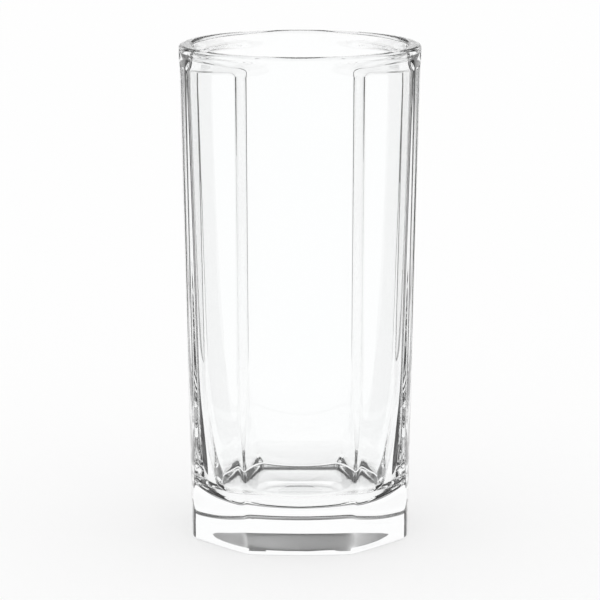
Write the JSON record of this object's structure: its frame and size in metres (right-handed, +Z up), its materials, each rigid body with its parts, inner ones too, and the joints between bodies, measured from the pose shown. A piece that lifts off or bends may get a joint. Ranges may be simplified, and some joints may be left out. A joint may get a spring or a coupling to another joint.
{
  "type": "highball glass",
  "caption": "Tall clear pressed-glass tumbler with bowed flats and blunt corners, a round lip, tapering walls and a heavy solid base, for long drinks.",
  "frame": {"origin": "centre of the resting ring, on the surface that the glass stands on", "axes": "+Z up along the axis of the glass, +X and +Y square to two of the wide flats"},
  "size_m": [0.07, 0.07, 0.144],
  "materials": {
    "clear_glass": "clear, fire-polished, smooth inside and out"
  },
  "bodies": {
    "root": {"tumbler": "clear_glass"}
  },
  "joints": []
}
